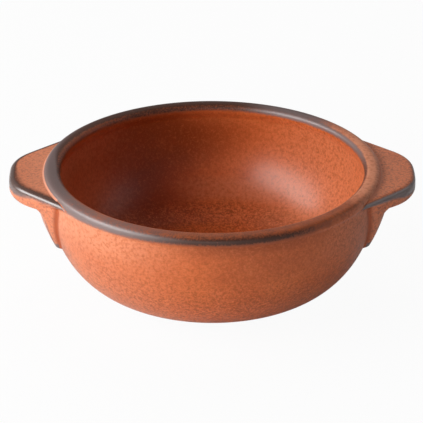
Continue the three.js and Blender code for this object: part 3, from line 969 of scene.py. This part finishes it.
def glaze(name, body, deep, speck, coat_roughness):
    """Semi-matte speckled glaze that turns grey-brown on edges and deepens where it pools, with painted
    shade, painted crease shade, painted sheen and painted highlights from its masks.
    """
    made = bpy.data.materials.new(name)
    graph = Graph(made)
    place = graph.node("ShaderNodeTexCoord")["Object"]
    noises = (graph.noise(place, *kind) for kind in (CLOUD, PATCH, RELIEF, MOTTLE, DOTS, GRAIN))
    cloud, patch, relief, mottle, dots, grain = noises
    masks = (graph.node("ShaderNodeAttribute", attribute_name=which)["Fac"] for which in MASKS)
    edge, ash_and_sheen, gloss, tan, painted_shade, pool_and_crease_shade, pale_and_highlight, bare, speckle = masks

    colour = graph.mix(graph.step(cloud, low=0.3, high=0.7), body, deep)
    colour = graph.mix(graph.step(patch, low=0.35, high=0.75, end=PATCH_SHARE), colour, deep)
    # Painted shade
    colour = graph.mix(graph.product(painted_shade, PAINTED_SHADE_SHARE), colour, PAINTED_SHADE_COLOUR)
    spots = (
        (graph.step(patch, low=0.5, high=0.25, end=0.35), speck),
        (graph.step(mottle, low=0.52, high=0.3, end=0.9), speck),
        (graph.step(mottle, low=0.5, high=0.72, end=0.5), SPARK),
        (graph.step(dots, low=0.5, high=0.3, end=0.8), speck),
        (graph.step(dots, low=0.5, high=0.7, end=0.5), SPARK),
    )
    for share, spot in spots:
        colour = graph.mix(graph.product(share, speckle), colour, spot)
    mottled = graph.step(mottle, low=0.3, high=0.6, start=TAN_LEAST_SHARE)
    # Tan, which in places is a painted sheen and in places a painted highlight
    colour = graph.mix(graph.product(tan, mottled), colour, TAN_AND_SHEEN_COLOUR)
    # Pooled glaze with painted crease shade
    colour = graph.mix(graph.product(pool_and_crease_shade, POOL_AND_SHADE_SHARE), colour, POOL_AND_SHADE_COLOUR)
    # Pale glaze with painted highlight
    colour = graph.mix(graph.product(pale_and_highlight, PALE_HIGHLIGHT_SHARE), colour, PALE_HIGHLIGHT_COLOUR)

    broken = graph.stirred(graph.stirred(edge, patch, PATCH_BREAK), dots, DOTS_BREAK)
    dark = graph.product(graph.step(broken, low=0.12, high=0.8), graph.step(edge, low=0.02, high=0.25))
    blackness = graph.step(graph.stirred(edge, dots, RED_BREAK), low=0.55, high=0.95)
    # Grey ash on the dark edge, partly a painted sheen
    edge_colour = graph.mix(ash_and_sheen, graph.mix(blackness, EDGE_RED, EDGE_DARK), ASH_AND_SHEEN_GREY)
    colour = graph.mix(graph.product(dark, DARK_SHARE), colour, edge_colour)
    colour = graph.mix(bare, colour, BARE_CLAY)

    rough = graph.step(grain, low=0.3, high=0.7, start=SMOOTH_ROUGHNESS, end=GRAINY_ROUGHNESS)
    rough = graph.maths("ADD", rough, graph.product(dark, DARK_ROUGHER))
    rough = graph.maths("ADD", rough, graph.product(bare, BARE_ROUGHER), clamp=True)
    height = graph.maths("ADD", graph.product(grain, GRAIN_RELIEF), relief)
    bump = {"Strength": BUMP_STRENGTH, "Distance": BUMP_DISTANCE, "Height": height}
    shader = graph.node("ShaderNodeBsdfPrincipled", {
        "Base Color": colour,
        "Roughness": rough,
        "Normal": graph.node("ShaderNodeBump", bump)[0],
        "IOR": GLAZE_IOR,
        "Coat Weight": graph.product(gloss, dark),
        "Coat IOR": COAT_IOR,
        "Coat Roughness": coat_roughness,
    })
    graph.node("ShaderNodeOutputMaterial", {"Surface": shader[0]})
    return made


finishes = {
    "bowl_glaze": glaze("bowl_glaze_look", BODY, DEEP, SPECK, coat_roughness=0.56),
    "lug_glaze": glaze("lug_glaze_look", LUG_BODY, LUG_DEEP, LUG_SPECK, coat_roughness=0.27),
    "fired_slip": glaze("fired_slip_look", BODY, DEEP, SPECK, coat_roughness=0.44),
}
for cad_node, (piece, slot) in pieces.items():
    piece.data.materials.append(finishes[slot])
    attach(piece, "root")
    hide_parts(cad_node)


# Lights, surroundings and camera

def area_light(name, azimuth, elevation, distance, size, power, mirrored=True):
    """A soft box aimed at the middle of the pot; azimuth is degrees to the right of the viewer's side.

    mirrored is whether the glaze shows its reflection."""
    lamp = bpy.data.lights.new(name, "AREA")
    lamp.shape = "RECTANGLE"
    lamp.size, lamp.size_y = size
    lamp.energy = power
    made = bpy.data.objects.new(name, lamp)
    made.visible_glossy = mirrored
    a, e = math.radians(azimuth), math.radians(elevation)
    way = Vector((math.sin(a) * math.cos(e), -math.cos(a) * math.cos(e), math.sin(e)))
    made.location = way * distance + Vector((0, 0, POT_HEIGHT / 2 * MM))
    made.rotation_euler = way.to_track_quat("Z", "Y").to_euler()
    bpy.context.scene.collection.objects.link(made)


area_light("key_light", azimuth=-73, elevation=27.5, distance=0.9, size=(1.05, 0.4), power=9.4)
area_light("front_light", azimuth=-27, elevation=3.0, distance=1.2, size=(2.4, 0.14), power=7.7)
area_light("right_light", azimuth=94, elevation=22, distance=0.9, size=(0.6, 0.5), power=0.5)
area_light("back_light", azimuth=180, elevation=55, distance=0.9, size=(0.8, 0.6), power=2.9,
           mirrored=False)


def white_share(graph, glossy_share):
    """How much of the white surroundings a ray sees: all from the camera, and a share in reflections."""
    path = graph.node("ShaderNodeLightPath")
    mirrored = graph.maths("MAXIMUM", path["Is Glossy Ray"], path["Is Transmission Ray"])
    return graph.maths("MAXIMUM", path["Is Camera Ray"], graph.product(mirrored, glossy_share))


# White surroundings, which reflections see less of towards the ceiling, given by how steep their way up is
AMBIENT = 0.015
SKY_GLOSSY_SHARE = 0.3
CEILING = (0.45, 0.85)
CEILING_GLOSSY_SHARE = 0.1

world = bpy.data.worlds.new("studio")
sky = Graph(world)
sky_way = sky.node("ShaderNodeSeparateXYZ", {0: sky.node("ShaderNodeTexCoord")["Generated"]})["Z"]
sky_share = sky.step(sky_way, *CEILING, SKY_GLOSSY_SHARE, CEILING_GLOSSY_SHARE)
strength = sky.maths("MAXIMUM", white_share(sky, sky_share), AMBIENT)
sky_light = sky.node("ShaderNodeBackground", {"Color": WHITE, "Strength": strength})[0]
sky.node("ShaderNodeOutputWorld", {"Surface": sky_light})
bpy.context.scene.world = world

# White floor, which reflections see more of behind the pot at the left
FLOOR_SIZE = 8.0
FLOOR_SIDES = 64
FLOOR_DROP = 0.00005
FLOOR_WHITE_SHARE = 0.95
FLOOR_GLOSSY_SHARE = 0.08
FLOOR_LEFT_GLOSSY_SHARE = 0.7
FLOOR_LEFT = (0.1, -0.25)
FLOOR_BEHIND = (0.0, 0.4)
PAPER = (0.75, 0.75, 0.75, 1)

floor_mesh = bpy.data.meshes.new("floor")
floor_ring = arc(0j, FLOOR_SIZE, 0, WHOLE_TURN, FLOOR_SIDES)[:-1]
floor_points = [(p.real, p.imag, -FLOOR_DROP) for p in floor_ring]
floor_mesh.from_pydata(floor_points, [], [tuple(range(FLOOR_SIDES))])
floor = bpy.data.objects.new("floor", floor_mesh)
bpy.context.scene.collection.objects.link(floor)
floor_look = bpy.data.materials.new("floor_look")
paper = Graph(floor_look)
place = paper.node("ShaderNodeSeparateXYZ", {0: paper.node("ShaderNodeTexCoord")["Object"]})
left_share = paper.step(place["X"], *FLOOR_LEFT, FLOOR_GLOSSY_SHARE, FLOOR_LEFT_GLOSSY_SHARE)
glossy_share = paper.step(place["Y"], *FLOOR_BEHIND, FLOOR_GLOSSY_SHARE, left_share)
share = paper.product(white_share(paper, glossy_share), FLOOR_WHITE_SHARE)
matt = paper.node("ShaderNodeBsdfDiffuse", {"Color": PAPER})[0]
lit = paper.node("ShaderNodeEmission", {"Color": WHITE, "Strength": 1.0})[0]
floor_surface = paper.node("ShaderNodeMixShader", {0: share, 1: matt, 2: lit})[0]
paper.node("ShaderNodeOutputMaterial", {"Surface": floor_surface})
floor_mesh.materials.append(floor_look)

# The photograph's view: distance and turn round the pot, and where the foot's middle falls in the frame
VIEW_DISTANCE = 1.4
VIEW_ELEVATION = math.radians(26.80)
VIEW_YAW = math.radians(-0.8)
VIEW_ROLL = math.radians(0.151)
VIEW_TARGET_HEIGHT = 0.00173
FRAME_PIXELS = 423
FOCAL_PIXELS = 2719.5
TARGET_RIGHT_PIXELS = 0.53
TARGET_DOWN_PIXELS = 67.31
SENSOR_WIDTH = 36.0
NEAR_CLIP = 0.05

lens = bpy.data.cameras.new("camera")
lens.sensor_width = SENSOR_WIDTH
lens.sensor_fit = "HORIZONTAL"
lens.lens = FOCAL_PIXELS / FRAME_PIXELS * SENSOR_WIDTH
lens.clip_start = NEAR_CLIP
camera = bpy.data.objects.new("camera", lens)
way = Vector((0, -math.cos(VIEW_ELEVATION), math.sin(VIEW_ELEVATION)))
way.rotate(Euler((0, 0, VIEW_YAW)))
aim = way.to_track_quat("Z", "Y").to_matrix()
pitch = Matrix.Rotation(math.atan(TARGET_DOWN_PIXELS / FOCAL_PIXELS), 3, "X")
yaw = Matrix.Rotation(math.atan(TARGET_RIGHT_PIXELS / FOCAL_PIXELS), 3, "Y")
roll = Matrix.Rotation(VIEW_ROLL, 3, "Z")
camera.rotation_euler = (aim @ roll @ pitch @ yaw).to_euler()
camera.location = way * VIEW_DISTANCE + Vector((0, 0, VIEW_TARGET_HEIGHT))
bpy.context.scene.collection.objects.link(camera)
bpy.context.scene.camera = camera
bpy.context.scene.view_settings.view_transform = "Standard"
